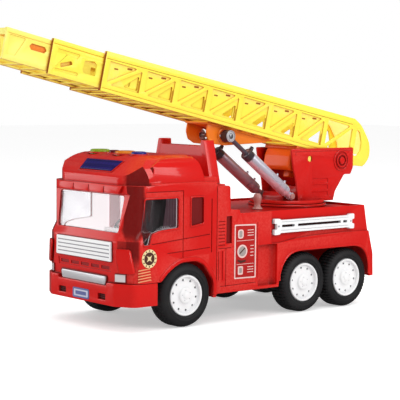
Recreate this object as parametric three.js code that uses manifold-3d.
// Toy fire engine: three-axle cab-over truck with a slewing turret, a lifting
// ladder in three telescoping sections, twin lift cylinders, push buttons on
// the cab roof and round axles in the wheels.
//
// Axes: +X towards the nose, +Y towards the truck's left, +Z up. The origin
// is on the ground, under the middle of the overall bounding box.
// Solids are drawn in model units, on a body 120 units wide; they become
// millimetres when they are added to the scene.
import * as THREE from 'three';
import { mergeVertices } from 'three/addons/utils/BufferGeometryUtils.js';
import Module from 'manifold-3d';

const wasm = await Module();
wasm.setup();

// ---- driving dimensions, in model units unless the comment says otherwise ----
const MODEL_SCALE = 1.25;          // millimetres per model unit: the body is 150 mm wide
const CENTRE_SHIFT_X = 71.597;     // moves the origin under the box centre
const HALF_W = 60;                 // half of the body width
const WALL = 2.2;                  // wall of the cab shell
const GAP = 0.26;                  // clearance between resting pieces
const AXLES = { front: -19.4, middle: -153.2, rear: -206.2 };   // x of each axle
const WHEEL_R = 26.16;             // tyre radius, and height of the axles
const TYRE_INNER_Y = 40.2;
const TYRE_OUTER_Y = 59.4;
const AXLE_R = 1.8;
const SCREWS = { front: 22, rear: -118 };   // x of each chassis screw
const DECK_Z = 88.6;               // top of the rear deck
const TURRET_X = -187;             // slewing axis
const TURRET_BORE_R = 9.3;
const PIVOT = { x: -232.6, z: 128.9 };      // ladder pivot
const LADDER_PITCH = THREE.MathUtils.degToRad(12.4);   // resting elevation
const CYL_BASE = { x: -172, z: 98 };        // lower pivot of the lift cylinders
const CYL_PIN = { x: -96.4, z: 153.1 };     // upper pin of the lift cylinders
const CYL_Y = 19.8;                // distance of each cylinder from the centre
const LADDER_Y = 21.2;             // outer face of the main ladder section
const LADDER_WALL = 1.6;
const LADDER_TIP_X = 373;          // tip of the last section along the ladder

// ---- colours and shared finishes ----
const RED = 0xd3120f, YELLOW = 0xf6d82c, WHITE = 0xf2f2ee, BLACK = 0x17181a;
const SILVER = 0xb9b3c4, STEEL = 0xa8abb0, DARK = 0x2b2c30, CLEAR = 0xdfe9ee;
const ORANGE = 0xe8861a, GREEN = 0x86b82c, BLUE = 0x2a2f9e, MAROON = 0x7c0f14;
const GREY = 0xd4d2d0, PINK = 0xd9a9a2, BOARD_GREEN = 0x2f6b3a;
const BRIGHT_STEEL = { color: STEEL, roughness: 0.3, metalness: 1 };
const LADDER_YELLOW = { color: YELLOW, roughness: 0.32 };
const GLOSS_RED = { color: RED, roughness: 0.28 };

// ---- solids ----
// A closed manifold from a geometry, without degenerate triangles and facing outwards.
function solid(geometry) {
  geometry.deleteAttribute('normal');
  geometry.deleteAttribute('uv');
  const merged = mergeVertices(geometry, 1e-4);
  const positions = merged.attributes.position.array;
  const index = merged.index.array;
  const triangles = [];
  let volume = 0;                  // six times the signed volume
  for (let i = 0; i < index.length; i += 3) {
    const corners = [index[i], index[i + 1], index[i + 2]];
    if (new Set(corners).size < 3) continue;
    triangles.push(...corners);
    const [p, q, r] = corners.map((k) => new THREE.Vector3().fromArray(positions, 3 * k));
    volume += p.dot(q.cross(r));
  }
  if (volume < 0) triangles.reverse();
  return new wasm.Manifold(new wasm.Mesh({
    numProp: 3,
    vertProperties: new Float32Array(positions),
    triVerts: new Uint32Array(triangles),
  }));
}
const join = (...solids) => solids.reduce((all, next) => all.add(next));
const cut = (body, ...tools) => tools.reduce((rest, tool) => rest.subtract(tool), body);
const overlap = (...solids) => solids.reduce((all, next) => all.intersect(next));
const mirrored = (shape) => shape.mirror([0, 1, 0]);
const pair = (shape) => join(shape, mirrored(shape));   // the same on both sides of the truck

function extrude(outline, depth) {
  const shape = new THREE.Shape(outline.map(([u, v]) => new THREE.Vector2(u, v)));
  return new THREE.ExtrudeGeometry(shape, { depth, bevelEnabled: false, steps: 1 });
}
// outline in (x, z), between two values of y
function side(outline, y0, y1, holes = []) {
  const slab = solid(extrude(outline, y1 - y0).rotateX(Math.PI / 2).translate(0, y1, 0));
  return cut(slab, ...holes.map((hole) => side(hole, y0 - 1, y1 + 1)));
}
// outline in (x, y), between two heights
function plan(outline, z0, z1, holes = []) {
  const slab = solid(extrude(outline, z1 - z0).translate(0, 0, z0));
  return cut(slab, ...holes.map((hole) => plan(hole, z0 - 1, z1 + 1)));
}
// outline in (y, z), between two values of x
function front(outline, x0, x1) {
  const toYZ = new THREE.Matrix4().makeBasis(
    new THREE.Vector3(0, 1, 0), new THREE.Vector3(0, 0, 1), new THREE.Vector3(1, 0, 0));
  return solid(extrude(outline, x1 - x0).applyMatrix4(toYZ).translate(x0, 0, 0));
}
function box(x0, x1, y0, y1, z0, z1) {
  return solid(new THREE.BoxGeometry(x1 - x0, y1 - y0, z1 - z0)
    .translate((x0 + x1) / 2, (y0 + y1) / 2, (z0 + z1) / 2));
}
// cylinder along an axis; u and v are its other two coordinates, in x, y, z order
function rod(axis, u, v, radius, from, to, segments) {
  const cylinder = new THREE.CylinderGeometry(radius, radius, to - from, segments);
  cylinder.translate(0, (from + to) / 2, 0);
  if (axis === 'y') cylinder.translate(u, 0, v);
  if (axis === 'z') cylinder.rotateX(Math.PI / 2).translate(u, v, 0);
  if (axis === 'x') cylinder.rotateZ(-Math.PI / 2).translate(0, u, v);
  return solid(cylinder);
}
// closed profile of (radius, y) turned about the Y axis
function turned(profile, segments) {
  const points = profile.map(([radius, y]) => new THREE.Vector2(radius, y));
  return solid(new THREE.LatheGeometry(points, segments));
}
// closed profile of (radius, height) turned about a vertical axis
function turnedUpright(profile, segments, x, y, z) {
  return turned(profile, segments).rotate([90, 0, 0]).translate([x, y, z]);
}
const rect = (u0, u1, v0, v1) => [[u0, v0], [u1, v0], [u1, v1], [u0, v1]];
// regular polygon centred on the slewing axis
const turretRing = (radius, count) => [...Array(count).keys()].map((i) => {
  const angle = 2 * Math.PI * i / count;
  return [TURRET_X + radius * Math.cos(angle), radius * Math.sin(angle)];
});
// closes a half outline of (x, y) with its mirror image across the centre line
const symmetric = (half) => [...half.map(([x, y]) => [x, -y]), ...[...half].reverse()];

// ---- scene graph ----
const truck = new THREE.Group();
truck.name = 'toy_fire_engine';
truck.position.x = CENTRE_SHIFT_X * MODEL_SCALE;

// a group whose x axis rises at an angle from a point on the centre plane
function tiltedFrame(origin, angle) {
  const frame = new THREE.Group();
  frame.position.set(origin.x * MODEL_SCALE, 0, origin.z * MODEL_SCALE);
  frame.rotation.y = -angle;
  truck.add(frame);
  return frame;
}
const ladderFrame = tiltedFrame(PIVOT, LADDER_PITCH);
const CYL_RUN = CYL_PIN.x - CYL_BASE.x;
const CYL_RISE = CYL_PIN.z - CYL_BASE.z;
const CYL_LENGTH = Math.hypot(CYL_RISE, CYL_RUN);
const cylinderFrame = tiltedFrame(CYL_BASE, Math.atan2(CYL_RISE, CYL_RUN));

function part(name, shape, finish, parent = truck) {
  const { color, roughness, metalness = 0, opacity = 1 } = finish;
  const { vertProperties, triVerts } = shape.getMesh();
  const positions = Float32Array.from(vertProperties, (value) => value * MODEL_SCALE);
  const geometry = new THREE.BufferGeometry();
  geometry.setAttribute('position', new THREE.BufferAttribute(positions, 3));
  geometry.setIndex(new THREE.BufferAttribute(new Uint32Array(triVerts), 1));
  geometry.computeVertexNormals();
  const mesh = new THREE.Mesh(geometry, new THREE.MeshStandardMaterial({
    color, roughness, metalness, transparent: opacity < 1, opacity }));
  mesh.name = name;
  parent.add(mesh);
}
function partPair(name, leftShape, finish, parent) {
  part(`${name}_left`, leftShape, finish, parent);
  part(`${name}_right`, mirrored(leftShape), finish, parent);
}

// =====================================================================
// Chassis
// =====================================================================
function chassisFrame() {
  const outline = symmetric([[-230, 30], [-226, 34], [26, 34], [30, 30]]);
  let frame = plan(outline, 28, 31.5);
  for (const x of Object.values(AXLES)) {
    frame = join(frame, pair(box(x - 5, x + 5, 25, 35, 21, 30)));      // axle blocks
  }
  frame = join(frame,
    box(-224, 14, -3, 3, 25.5, 30),                                   // keel rib
    pair(box(-96, -60, 20, 24, 25.5, 30)),                            // battery surround
    box(-99, -96, -24, 24, 25.5, 30),
    box(-60, -57, -24, 24, 25.5, 30));
  frame = cut(frame, box(-96.2, -59.8, -20.2, 20.2, 20, 33));         // battery opening
  for (const x of Object.values(AXLES)) {
    frame = cut(frame, rod('y', x, WHEEL_R, AXLE_R + 0.35, -40, 40, 14));
  }
  for (const x of Object.values(SCREWS)) {
    frame = cut(frame, box(x - 5, x + 5, -4, 4, 20, 28), rod('z', x, 0, 1.5, 27, 33, 12));
  }
  return frame;
}
part('chassis_frame', chassisFrame(), { color: DARK, roughness: 0.6 });

// battery compartment: open-topped box, two cells and the cover below
part('battery_box',
  cut(box(-95.6, -60.4, -19.6, 19.6, 27.0, 44), box(-94, -62, -18, 18, 28.2, 50)),
  { color: DARK, roughness: 0.5 });
for (const [number, y, color] of [[1, -8, STEEL], [2, 8, ORANGE]]) {
  const cell = join(rod('x', y, 33.6, 4.7, -92.4, -65, 20),
    rod('x', y, 33.6, 1.6, -65.2, -63.6, 12));
  part(`battery_${number}`, cell, { color, roughness: 0.3, metalness: 0.5 });
}
function batteryCover() {
  const plate = box(-95.4, -60.6, -19.4, 19.4, 23.9, 25.2);
  const screwHole = rod('z', -93, 0, 1.2, 20, 30, 12);
  return join(cut(plate, screwHole), pair(box(-95.4, -60.6, 17.6, 19.4, 25, 26.7)));
}
part('battery_cover', batteryCover(), { color: DARK, roughness: 0.45 });

for (const [name, x] of Object.entries(SCREWS)) {
  const screw = join(rod('z', x, 0, 2.6, 26.2, 27.7, 12), rod('z', x, 0, 1.15, 27.5, 36, 12));
  part(`chassis_screw_${name}`, screw, BRIGHT_STEEL);
}

// =====================================================================
// Wheels
// =====================================================================
function tyre() {
  const inner = TYRE_INNER_Y, outer = TYRE_OUTER_Y;
  return turned([
    [17.1, inner + 1], [WHEEL_R - 3.4, inner], [WHEEL_R, inner + 4.2],
    [WHEEL_R, outer - 4.2], [WHEEL_R - 3.2, outer], [20.2, outer],
    [17.1, outer - 2.4], [17.1, inner + 1],
  ], 26);
}
// dished hub: rim, dish and centre boss, with a blind bore for the axle
function hub() {
  const inner = TYRE_INNER_Y, outer = TYRE_OUTER_Y;
  const body = turned([
    [0, inner + 3], [16.3, inner + 3], [16.8, outer - 3.2], [15.2, outer - 1.2],
    [13.4, outer - 4.2], [7.2, outer - 3.8], [6.0, outer - 0.6], [0, outer - 0.2],
  ], 20);
  return cut(body, rod('y', 0, 0, AXLE_R + 0.12, inner, 55.9, 16));
}
for (const [name, x] of Object.entries(AXLES)) {
  part(`axle_${name}`, rod('y', x, WHEEL_R, AXLE_R, -55.6, 55.6, 16), BRIGHT_STEEL);
  const place = [x, 0, WHEEL_R];
  partPair(`tyre_${name}`, tyre().translate(place), { color: BLACK, roughness: 0.75 });
  partPair(`hub_${name}`, hub().translate(place), { color: WHITE, roughness: 0.4 });
}

// =====================================================================
// Cab
// =====================================================================
const CAB_REAR = -50.2;
const CAB_NOSE = 40.4;
const SILL_Z = 77, BROW_Z = 116.6;  // heights where the plan outline steps in
const SLOPE_TOP = [20.0, 134.2], SLOPE_FOOT = [30.4, 125.9];   // roof slope, (x, z)
const INNER_W = HALF_W - WALL;
const BUTTON_X = 4;
const BUTTONS = [                   // name, y, radius, colour
  ['green', -28.5, 8.5, GREEN],
  ['red', -8.8, 4.6, MAROON],
  ['orange', 6.2, 8.5, ORANGE],
  ['blue', 24.4, 6.2, BLUE],
];

// side outlines (x, z): wheel arch, nose, windscreen, roof and rear edge
const CAB_SIDE = [
  [CAB_REAR, 22.2], [-46.9, 22.2], [-46.7, 36], [-45.2, 38.8], [-36.6, 50], [-28, 54],
  [-13, 53.6], [-4.7, 50.1], [3.5, 44.3], [8.6, 39.4], [CAB_NOSE, 39.4],
  [CAB_NOSE, 72.6], [38.0, 78.2], [33.2, 109.3], [34.4, 110.5], [34.8, 116.4],
  [34.8, 120.8], [33.5, 123.6], SLOPE_FOOT, SLOPE_TOP, [15.2, 138.2], [10, 139.7],
  [-30.4, 139.7], [-32.6, 136], [-34.4, 118.6], [CAB_REAR, 117.8],
];
const CAVITY_SIDE = [
  [CAB_REAR + WALL, 10], [CAB_NOSE - WALL, 10], [CAB_NOSE - WALL, 72.2], [38.0 - WALL, 77.6],
  [33.2 - WALL, 110], [31.2, 118.0], [28.6, 122.0], [24.0, 127.2], [18.8, 132.4],
  [14.6, 135.8], [9.6, 137.4], [-28.6, 137.4], [-30.2, 135.4], [-32.2, 116.4],
  [CAB_REAR + WALL, 115.6],
];
// plan outlines (x, y): below the windows, at the windows, and the narrower brow
const CAB_PLAN = symmetric([[-53, HALF_W], [32, HALF_W], [40.6, 42.8]]);
const WINDOW_PLAN = symmetric([[-53, HALF_W], [27.2, HALF_W], [35.4, 46], [38.8, 40]]);
const ROOF_PLAN = symmetric([
  [-53, HALF_W], [12, HALF_W], [19, 57.5], [31.5, 45.5], [34.9, 38],
]);
const CAVITY_PLAN = symmetric([[-55, INNER_W], [30.6, INNER_W], [38.6, 41.6]]);
const CAVITY_WINDOW_PLAN = symmetric([
  [-55, INNER_W], [25.8, INNER_W], [33.4, 44.6], [36.6, 38.8],
]);
const CAVITY_ROOF_PLAN = symmetric([
  [-55, INNER_W], [10.8, INNER_W], [17.6, 55.2], [29.4, 43.8], [32.6, 36.8],
]);
// front outline (y, z)
const CAB_FRONT = symmetric([
  [20, 60], [117.8, 60], [119.2, 57.4], [126, 56.2], [132.6, 53.4], [137, 48.6], [139.8, 42.6],
]).map(([z, y]) => [y, z]);
// openings in the side walls (x, z)
const DOOR_WINDOW = [
  [-9.1, 106], [-9.1, 82.2], [9.3, 80.9], [18.6, 78.4], [20.4, 69.8], [27.0, 69.8],
  [27.4, 80], [25.2, 106],
];
const REAR_WINDOW = [[-35.6, 106], [-35.6, 84.6], [-22.2, 82.6], [-22.2, 106]];

function cabBody() {
  const stack = join(plan(CAB_PLAN, 10, SILL_Z), plan(WINDOW_PLAN, SILL_Z - 4, BROW_Z),
    plan(ROOF_PLAN, BROW_Z - 4, 150));
  return overlap(side(CAB_SIDE, -70, 70), stack, front(CAB_FRONT, -60, 50));
}
function cabCavity() {
  const stack = join(plan(CAVITY_PLAN, 0, SILL_Z - WALL),
    plan(CAVITY_WINDOW_PLAN, SILL_Z - 6, BROW_Z - WALL),
    plan(CAVITY_ROOF_PLAN, BROW_Z - 6, 150));
  // the roof drops by the wall, the open bottom goes well below the shell
  const outline = CAB_FRONT.map(([y, z]) => [y * 0.963, z > 100 ? z - WALL : z - 20]);
  return overlap(side(CAVITY_SIDE, -70, 70), stack, front(outline, CAB_REAR + WALL, 50));
}
// sun visor over the windscreen, four segments, moulded with the cab
function sunVisor() {
  const profile = [[33.0, 110.6], [35.4, 109.2], [37.2, 110.2], [36.4, 115.8], [33.4, 116.5]];
  const visor = overlap(side(profile, -60, 60),
    front([[-39.4, 109], [39.4, 109], [44.6, 117], [-44.6, 117]], 30, 45));
  const slits = [-21, 0, 21].map((y) => box(36.1, 42, y - 0.7, y + 0.7, 105, 115.2));
  return cut(visor, ...slits);
}
function cabShell() {
  const headlightSeat = [[42.5, 42.5], [38.1, 51.6], [35.7, 50.4], [38.0, 41.6]];
  const shell = cut(cabBody(), cabCavity(),
    // windscreen and side openings
    front([[-41.5, 78.9], [41.5, 78.9], [44.2, 108.4], [-44.2, 108.4]], 27, 45),
    pair(side(DOOR_WINDOW, 50, 64)),
    pair(side(REAR_WINDOW, 58.8, 64)),
    // narrow grooves: one behind the door window, one near the rear edge
    pair(box(-14.4, -13.8, 59.5, 64, 57.5, 111)),
    pair(box(-44.6, -42.8, 59.1, 64, 62, 100)),
    pair(plan(headlightSeat, 40.2, 46.8)),
    box(-54, -44, -35, 35, 18, 32),                       // notch over the chassis
    // shallow recess under the grille panel
    front([[-36, 47.6], [36, 47.6], [37, 53.4], [-37, 53.4]], 39.3, 45),
    ...BUTTONS.map(([, y, radius]) => rod('z', BUTTON_X, y, radius + 0.34, 130, 145, 20)),
    pair(rod('x', 10, 131.4, 1.5, 15, 35, 10)));          // two holes behind the roof lens
  return join(shell, sunVisor());
}
part('cab_shell', cabShell(), { color: RED, roughness: 0.25 });

// glazing
function windscreen() {
  const pane = [[37.2, 79.3], [36.0, 79.3], [31.6, 108.0], [32.8, 108.0]];
  return overlap(side(pane, -50, 50),
    front([[-41.1, 79.3], [41.1, 79.3], [43.7, 108.0], [-43.7, 108.0]], 20, 50));
}
part('windscreen', windscreen(), { color: CLEAR, roughness: 0.05, opacity: 0.35 });
const SIDE_PANE = [
  [-8.7, 105.6], [-8.7, 82.6], [9.5, 81.3], [19.0, 78.7], [20.8, 70.2], [26.6, 70.2],
  [26.8, 80], [24.8, 105.6],
];
partPair('side_window', side(SIDE_PANE, 58.1, 59.4), { color: BLACK, roughness: 0.08 });

// interior moulding: floor, dashboard, two seat cushions and the left seat's back
function cabInterior() {
  const floor = symmetric([[-44.8, 55], [27.5, 50], [34.2, 34]]);
  const dashboard = [[24, 62], [34, 62], [36, 72.6], [34.6, 77.4], [29.4, 78.2], [27, 72]];
  const cushion = [[-18, 62], [8, 62], [9.6, 68], [8, 70.5], [-18, 70.0]];
  const seatBack = [[-12.5, 69], [-17.6, 99], [-19, 104], [-22.5, 104], [-22.5, 98], [-17.5, 69]];
  return join(plan(floor, 60.2, 62.4), side(dashboard, -38, 38),
    side(cushion, 6, 28), side(cushion, -40, -10), side(seatBack, 6, 28));
}
part('cab_interior', cabInterior(), { color: GREY, roughness: 0.55 });

function steeringWheel() {
  const tilt = 0.5;                // radians from upright
  const centre = [20.4, 22, 81.4];
  const rim = new THREE.TorusGeometry(7.2, 0.9, 5, 16)
    .rotateY(Math.PI / 2).rotateY(-tilt).translate(...centre);
  const spoke = new THREE.BoxGeometry(1.2, 13.8, 1.6).rotateY(-tilt).translate(...centre);
  const column = new THREE.CylinderGeometry(1.3, 1.3, 8.4, 10)
    .rotateZ(Math.PI / 2).rotateY(tilt + Math.PI).translate(24.2, 22, 79.35);
  return join(solid(rim), solid(spoke), solid(column));
}
part('steering_wheel', steeringWheel(), { color: BLACK, roughness: 0.5 });

function frontBumper() {
  const outline = [                // (x, y)
    [43.45, -43.4], [43.45, 43.4], [34.6, HALF_W], [11.5, HALF_W], [11.5, 54.6], [31.6, 54.6],
    [38, 42], [38, -42], [31.6, -54.6], [11.5, -54.6], [11.5, -HALF_W], [34.6, -HALF_W],
  ];
  const bar = cut(plan(outline, 20.8, 39.1),
    front([[-33, 36.4], [33, 36.4], [35, 40], [-35, 40]], 30, 50));   // strip clearance
  const backing = box(31, 39, -36, 36, 22, 30);
  return cut(join(bar, backing), pair(box(41, 45, 22.3, 32.3, 24.9, 29.5)));
}
part('front_bumper', frontBumper(), GLOSS_RED);

function grillePanel() {
  const outline = [[-37.8, 56], [37.8, 56], [37.4, 71.6], [-37.4, 71.6]];
  const grooves = [59.1, 62.2, 65.3, 68.4]
    .map((z) => box(41.8, 43, -35.4, 35.4, z - 0.35, z + 0.35));
  return cut(front(outline, CAB_NOSE + GAP, 42.2), ...grooves);
}
part('grille_panel', grillePanel(), { color: WHITE, roughness: 0.3 });
part('lower_grille_strip',
  front([[-29.5, 36.7], [29.5, 36.7], [31.2, 43.5], [-31.2, 43.5]], CAB_NOSE + GAP, 42.0),
  { color: GREY, roughness: 0.25 });

partPair('headlight',
  plan([[41.9, 43.0], [37.7, 51.2], [36.05, 50.3], [38.3, 42.2]], 40.5, 46.5),
  { color: CLEAR, roughness: 0.1, opacity: 0.6 });
// corner deflector: a vertical vane standing off the chamfer
partPair('corner_deflector', overlap(
  plan([[41.2, 43.6], [42.6, 44.4], [34.8, 59.8], [33.0, 59.2]], 47.6, 67),
  front([[43, 67.2], [54.9, 67.2], [58.9, 47.4], [48.2, 47.4]], 30, 46),
), { color: RED, roughness: 0.3 });

// light lens, parallel to the roof slope and just clear of it
function roofLens() {
  const run = SLOPE_FOOT[0] - SLOPE_TOP[0];
  const rise = SLOPE_FOOT[1] - SLOPE_TOP[1];
  const length = Math.hypot(run, rise);
  const lifted = ([x, z], by) => [x - rise / length * by, z + run / length * by];
  const top = [20.1, 134.12], foot = [29.3, 126.78];
  const under = 0.3, over = 1.7;   // heights of the two faces above the slope
  const profile = [lifted(top, under), lifted(top, over), lifted(foot, over), lifted(foot, under)];
  return overlap(side(profile, -30, 30),
    front([[-21.5, 125], [21.5, 125], [24.6, 140], [-24.6, 140]], 10, 40));
}
part('roof_light_lens', roofLens(), { color: BLUE, roughness: 0.1, opacity: 0.85 });

for (const [name, y, radius, color] of BUTTONS) {
  const profile = [
    [0, 0], [radius + 0.8, 0], [radius + 0.8, 1.2], [radius, 1.2], [radius, 7.4],
    [radius - 1.2, 8.4], [0, 8.6],
  ];
  part(`push_button_${name}`, turnedUpright(profile, 18, BUTTON_X, y, 133.9),
    { color, roughness: 0.25 });
}
// sound module under the roof, with a switch block below each button
part('sound_board', join(box(-14, 17, -38, 40, 128.8, 130.2),
  ...BUTTONS.map(([, y]) => box(BUTTON_X - 3, BUTTON_X + 3, y - 3, y + 3, 129.4, 131.7))),
{ color: BOARD_GREEN, roughness: 0.5 });
part('speaker', turnedUpright(
  [[0, 0], [13, 0], [13, 1.4], [7.4, 2.4], [6.8, 6], [0, 6]], 18, -4, 0, 120.6),
{ color: DARK, roughness: 0.5 });

// =====================================================================
// Rear body
// =====================================================================
const BODY_TOP_Z = 90.6;            // top of the low walls beside the deck
const UPPER_FLANK_Y = 58.6;         // upper flanks, stepped in above the rear fender

// side outlines (x, z)
const BODY_SIDE = [
  [-50.6, 25], [-121, 25], [-121.6, 34], [-125.5, 44], [-133, 51.4], [-143, 54.6],
  [-215, 54.6], [-225, 52], [-231, 45], [-233.4, 36], [-233.6, 25.6], [-239, 25.6],
  [-238.2, 46], [-231.4, BODY_TOP_Z - 20], [-227.4, BODY_TOP_Z], [-76, BODY_TOP_Z],
  [-75, 93.4], [-65, 94.2], [-64.4, 112.6], [-63, 114], [-50.6, 114],
];
const UNDERSIDE = [[-52.8, 10], [-52.8, 86], [-224, 86], [-235.6, 46], [-236.4, 10]];
const TOWER_CAVITY = [
  [-52.8, 80], [-52.8, 111.6], [-62, 111.6], [-62, 91.2], [-72.6, 90.6], [-73, 80],
];
const FLANK_STEP = [[-111.6, 63.2], [-111.6, 95], [-245, 95], [-245, 66.4], [-121, 63.2]];

// back wall and four edges around the left locker recess
function lockerLining() {
  return join(
    box(-121, -94, 51.4, 53.5, 26, 87),
    box(-121, -118.8, 51.4, 58.2, 26, 64),
    box(-96.4, -94, 51.4, 58.2, 26, 64),
    box(-121, -94, 51.4, 58.2, 62.6, 64.6),
    box(-121, -94, 51.4, 58.2, 25.2, 27.2));
}
function rearBody() {
  const block = join(side(BODY_SIDE, -HALF_W, HALF_W), box(-73.4, -60, -43, 43, 88, 114));
  const hollowed = cut(block,
    side(UNDERSIDE, -57.6, 57.6),
    side(TOWER_CAVITY, -57.6, 57.6),
    box(-226, -78, -57.4, 57.4, DECK_Z, 95),              // deck between low side walls
    pair(side(FLANK_STEP, UPPER_FLANK_Y, 62)),
    pair(box(-118.6, -96.6, 53.4, 62, 27.4, 62.4)),       // locker recess
    // shallow upright recesses behind the cab
    pair(box(-54.2, -49, 58.4, 62, 65, 91)),
    pair(box(-66.6, -61.4, 58.4, 62, 65, 89)));
  const lined = cut(join(hollowed, pair(lockerLining())),
    box(-54, -50, -35, 35, 20, 32),                       // notch over the chassis
    rod('z', TURRET_X, 0, TURRET_BORE_R, 80, 95, 24));
  return join(lined, rod('z', SCREWS.rear, 0, 3.4, 37, 87, 12));   // screw post
}
part('rear_body', rearBody(), { color: RED, roughness: 0.26 });

// stowed side ladders
const SIDE_LADDER = [               // (x, z)
  [-113.4, 83.8], [-113.4, 79.6], [-116.4, 79.4], [-116.4, 74.6], [-113.4, 74.4],
  [-113.4, 69.8], [-119.6, 70.2], [-120.6, 71.4], [-204, 71.8], [-205.4, 70.6],
  [-211, 70.4], [-211, 74.8], [-208.4, 75.2], [-208.4, 78.6], [-211, 79.2],
  [-211, 83.8], [-205.4, 83.6], [-204, 82.4], [-120.6, 82.4], [-119.6, 83.6],
];
const SIDE_LADDER_SLOTS = [[-137, -122], [-194, -141], [-202, -197]]
  .map(([x0, x1]) => rect(x0, x1, 76.2, 78.4));
partPair('side_ladder', side(SIDE_LADDER, UPPER_FLANK_Y + GAP, 62.2, SIDE_LADDER_SLOTS),
  { color: WHITE, roughness: 0.35 });

// ladder rest: a tower with two horns
function ladderRest() {
  const outline = [                // (y, z)
    [-39.5, 114.3], [-35.5, 114.3], [-35, 118], [35, 118], [35.5, 114.3], [39.5, 114.3],
    [30.5, 150.5], [26.4, 150.5], [26.0, 145.6], [-26.0, 145.6], [-26.4, 150.5], [-30.5, 150.5],
  ];
  // recess open towards the cab, with a thin wall left at the back
  const recess = front([[-29, 122], [29, 122], [24, 138], [-24, 138]], -70, -40);
  return cut(front(outline, -71, -60), recess);
}
part('ladder_rest', ladderRest(), GLOSS_RED);

// rounded post on the left of the deck
const POST_PROFILE = [
  [0, 0], [5.2, 0], [5.2, 2.4], [4.3, 3.4], [4.6, 9.2], [3.4, 12.8], [0, 14],
];
part('deck_post', turnedUpright(POST_PROFILE, 16, -128.4, 23.7, DECK_Z + GAP),
  { color: PINK, roughness: 0.35 });

// =====================================================================
// Turret
// =====================================================================
part('turntable_ring',
  plan(turretRing(35.5, 36), DECK_Z + GAP, 91.0, [turretRing(TURRET_BORE_R, 24)]),
  { color: RED, roughness: 0.35 });

const TURRET_PLATE = [              // (x, z)
  [-178.5, 92.5], [-176, 111], [-172, 124], [-169, 140.6], [-248.5, 140.6], [-248.5, 122],
  [-245.4, 116], [-236.8, 116], [-225.4, 101], [-222.8, 92.5],
];
const TURRET_REAR_WALL = [
  [-222.4, 92.5], [-225.0, 101.2], [-233.2, 112], [-231, 112], [-223.0, 101.6], [-220.2, 92.5],
];
const TRUNNION_BLOCK = [
  [-168.5, 92.5], [-168.5, 97], [-169.6, 100], [-172, 101.4], [-174.4, 100], [-175.5, 97],
  [-175.5, 92.5],
];
// left plate with a stepped boss round the ladder pivot
function turretPlate() {
  const plate = join(side(TURRET_PLATE, 21.7, 23.7),
    rod('y', PIVOT.x, PIVOT.z, 9.6, 23.4, 24.5, 22),
    rod('y', PIVOT.x, PIVOT.z, 6.4, 23.4, 25.4, 18));
  return cut(plate, rod('y', PIVOT.x, PIVOT.z, 2.7, 18.7, 26.7, 16),
    rod('y', -192.4, 131.3, 2.6, 18.7, 26.7, 14));
}
function turretBody() {
  const body = join(plan(turretRing(34, 36), 91.3, 94.2),
    rod('z', TURRET_X, 0, 8.8, 85.0, 92, 24),             // slewing spigot
    pair(turretPlate()),
    side(TURRET_REAR_WALL, -22, 22),
    box(-187, -184.8, -22, 22, 92.5, 106),                // middle cross wall
    side(TRUNNION_BLOCK, -13.4, 13.4));
  return cut(body, rod('y', CYL_BASE.x, CYL_BASE.z, 1.85, -30, 30, 14));
}
part('turret_body', turretBody(), GLOSS_RED);
part('turret_retainer',
  cut(plan(turretRing(13, 20), 83.4, 84.7), rod('z', TURRET_X, 0, 1.5, 80, 90, 10)),
  { color: BLACK, roughness: 0.5 });
part('ladder_pivot_pin', rod('y', PIVOT.x, PIVOT.z, 2.4, -25.8, 25.8, 16), BRIGHT_STEEL);

// =====================================================================
// Ladder (frame along the main section, from the pivot)
// =====================================================================
const TOP_ROOT = { x: -11.5, z: 41.6 };   // ends of the main section's sloping top edge
const TOP_END = { x: 280.5, z: 34.6 };
const TRUSS_POSTS = [-13.6, 24.6, 60, 95.5, 131.4, 167.6, 203.8, 239.6, 278.4];
const TRUSS_LOW_Z = 8.6;            // bottom of the openings
const TOP_RAIL_DEPTH = 7.2;
const HALF_POST = 2.6;
const DIAGONAL = 3.0;               // width of a truss diagonal

// outlines in (x, z)
const MAIN_WALL = [
  [TOP_END.x, 2.4], [TOP_END.x, TOP_END.z], [TOP_ROOT.x, TOP_ROOT.z], [-21, 37.6],
  [-28.4, 31.4], [-35.4, 24], [-38.4, 16], [-38.2, 9.4], [-33.4, 2.2], [-22, -0.8],
  [-12, -4], [-6, -7.2], [0, -8.4], [6, -7.2], [12, -4], [22, 2.4],
];
const ROOT_OPENING = [[-18.4, 31], [-18.4, 10], [-31.6, 14.4], [-31.0, 20.6]];
const ROOT_BACK = [
  [-38.3, 12], [-35.4, 24], [-28.4, 31.4], [-21, 37.6], [-11.5, 41.6], [-11.5, 39.8],
  [-20.0, 35.8], [-27.2, 30.0], [-33.8, 23.2], [-36.6, 12],
];
const ROOT_CASING = [
  [20, 2.8], [50, 2.8], [54.6, 1.4], [57.4, -2.2], [58.8, -8], [58.4, -17.6],
  [55.2, -20.2], [38, -18.4], [24, -9.4], [12, -4.2],
];
const CYLINDER_BRACKET = [
  [84, 3.0], [158, 3.0], [158, -6], [154.4, -12.4], [147, -14.6], [134, -13.2], [88, -1.4],
];

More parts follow.
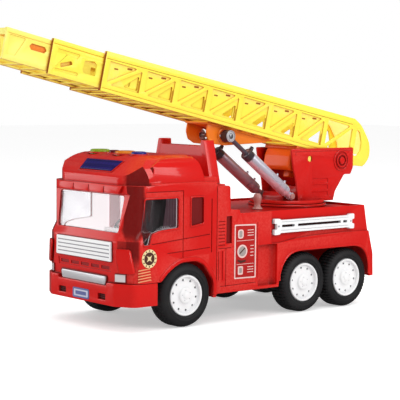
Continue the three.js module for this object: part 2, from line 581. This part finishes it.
// two triangular openings in each bay, either side of a diagonal that falls towards the tip
function trussHoles() {
  const slope = (TOP_ROOT.z - TOP_END.z) / (TOP_END.x - TOP_ROOT.x);
  const highAt = (x) => TOP_ROOT.z - (x - TOP_ROOT.x) * slope - TOP_RAIL_DEPTH;
  const holes = [];
  for (let i = 0; i + 1 < TRUSS_POSTS.length; i++) {
    const x0 = TRUSS_POSTS[i] + HALF_POST;
    const x1 = TRUSS_POSTS[i + 1] - HALF_POST;
    const high = highAt(x0);
    const highEnd = highAt(x1);
    const fall = (high - TRUSS_LOW_Z) / (x1 - x0);
    const offset = Math.hypot(1, fall) * DIAGONAL / 2;
    holes.push([[x0 + (high + offset - highEnd) / fall, highEnd], [x1, highEnd],
      [x1, TRUSS_LOW_Z + offset]]);
    holes.push([[x0, TRUSS_LOW_Z], [x0 + (high - offset - TRUSS_LOW_Z) / fall, TRUSS_LOW_Z],
      [x0, high - offset]]);
  }
  return holes;
}
function rungs({ first, count, pitch, halfDepth, halfLength, z0, z1 }) {
  return [...Array(count).keys()].map((i) => {
    const x = first + i * pitch;
    return box(x - halfDepth, x + halfDepth, -halfLength, halfLength, z0, z1);
  });
}
function mainSection() {
  const wallY = LADDER_Y - LADDER_WALL;
  const trimY = LADDER_Y - 0.2;    // inner pieces stop just short of the outer faces
  const topLip = [[280.4, 33.0], [280.4, 34.5], [-11.4, 41.5], [-11.4, 40.0]];
  const bottomLip = [[280.4, 2.5], [280.4, 3.9], [18, 3.9], [22, 2.5]];
  const section = join(
    pair(side(MAIN_WALL, wallY, LADDER_Y, [...trussHoles(), ROOT_OPENING])),
    ...rungs({
      first: 26, count: 17, pitch: 15.85, halfDepth: 1.6, halfLength: 18.4, z0: 2.6, z1: 3.7 }),
    pair(side(topLip, 17.6, trimY)),
    pair(side(bottomLip, 17.6, trimY)),
    side(ROOT_BACK, -trimY, trimY),
    side(ROOT_CASING, -17.2, 17.2),
    box(16, 56, -LADDER_Y + 0.3, LADDER_Y - 0.3, -1.0, 3.6),
    side([[36, -17], [43, -17], [43.4, -24.8], [37, -24.4]], -4, 4),   // lug under the casing
    pair(side(CYLINDER_BRACKET, 12.6, 14.2)),
    box(82, 159.5, -14.8, 14.8, 0.8, 3.1));               // web over the bracket plates
  return cut(section,
    rod('y', 137.6, -5.6, 5.4, -16, 16, 18),              // round holes for the cross pin
    rod('y', 0, 0, 2.75, -30, 30, 16));                   // pivot bore
}
part('ladder_main_section', mainSection(), LADDER_YELLOW, ladderFrame);

// two walls with lips along both edges, and rungs along the bottom
function slidingSection({ x0, x1, outerY, z0, z1, holes, rungCount, rungPitch }) {
  const lip = (low, high) => pair(
    box(x0 + 0.1, x1 - 0.1, outerY - 3.6, outerY - 0.2, low, high));
  return join(
    pair(side(rect(x0, x1, z0, z1), outerY - LADDER_WALL, outerY, holes)),
    ...rungs({
      first: x0 + 6, count: rungCount, pitch: rungPitch,
      halfDepth: 1.5, halfLength: outerY - 3, z0: z0 + 0.2, z1: z0 + 1.2 }),
    lip(z1 - 1.4, z1 - 0.1),
    lip(z0 + 0.1, z0 + 1.4));
}
const middleSection = slidingSection({
  x0: 131, x1: 331, outerY: 19.1, z0: 4.4, z1: 32.6, rungCount: 13, rungPitch: 15.66,
  holes: [
    [[286.5, 12.4], [298.4, 12.4], [299.4, 15], [298.6, 22.2], [289.2, 23.6], [286.5, 21.4]],
    [[309.4, 16.4], [311.2, 18.8], [321.4, 14.8], [320.2, 11.8]],
    rect(251, 266.4, 12.0, 24),
    rect(137, 149, 10.8, 26),
  ],
});
part('ladder_middle_section', middleSection, LADDER_YELLOW, ladderFrame);

const tipSection = slidingSection({
  x0: 183, x1: LADDER_TIP_X, outerY: 17.1, z0: 6.3, z1: 30.8, rungCount: 11, rungPitch: 16.2,
  holes: [
    [[336.2, 19.0], [348.6, 19.0], [350.6, 21.4], [348.6, 23.8], [336.2, 23.8], [334.2, 21.4]],
    rect(283.6, 301.4, 11.6, 24.4),
    rect(250, 267.4, 11.6, 24.4),
    rect(189, 201, 11.8, 25.4),
  ],
});
const tipCrossBar = box(LADDER_TIP_X - 3, LADDER_TIP_X - 0.2, -16.8, 16.8, 25, 30.4);
part('ladder_tip_section', join(tipSection, tipCrossBar), LADDER_YELLOW, ladderFrame);

// =====================================================================
// Lift cylinders (frame along the cylinders, from the lower pivot)
// =====================================================================
function cylinderBarrel() {
  const barrel = join(
    rod('x', CYL_Y, 0, 5.35, 4.5, 67.6, 18),
    rod('x', CYL_Y, 0, 3.0, 0.6, 6, 12),                  // neck
    rod('y', 0, 0, 3.4, CYL_Y - 2.6, CYL_Y + 2.6, 14),    // lower eye
    // three stubs on top of the barrel
    rod('z', 64.6, CYL_Y, 1.9, 4, 8.6, 8),
    rod('z', 14, CYL_Y, 1.2, 4, 7.4, 8),
    rod('z', 25, CYL_Y, 1.2, 4, 7.4, 8));
  return cut(barrel, rod('x', CYL_Y, 0, 2.4, 8, 70, 14),
    rod('y', 0, 0, 1.85, CYL_Y - 8, CYL_Y + 8, 14));
}
function cylinderRod() {
  const rodWithEye = join(rod('x', CYL_Y, 0, 2.0, 17, CYL_LENGTH - 4, 14),
    rod('y', CYL_LENGTH, 0, 5.2, CYL_Y - 4.2, CYL_Y + 4.2, 20));
  return cut(rodWithEye, rod('y', CYL_LENGTH, 0, 2.3, CYL_Y - 8, CYL_Y + 8, 14));
}
partPair('cylinder_barrel', cylinderBarrel(),
  { color: SILVER, roughness: 0.3, metalness: 0.6 }, cylinderFrame);
partPair('cylinder_rod', cylinderRod(),
  { color: SILVER, roughness: 0.25, metalness: 0.7 }, cylinderFrame);
part('cylinder_cross_pin', rod('y', CYL_LENGTH, 0, 2.0, -24.6, 24.6, 14),
  BRIGHT_STEEL, cylinderFrame);
part('cylinder_base_pin', rod('y', 0, 0, 1.6, -23.0, 23.0, 14), BRIGHT_STEEL, cylinderFrame);

export default truck;
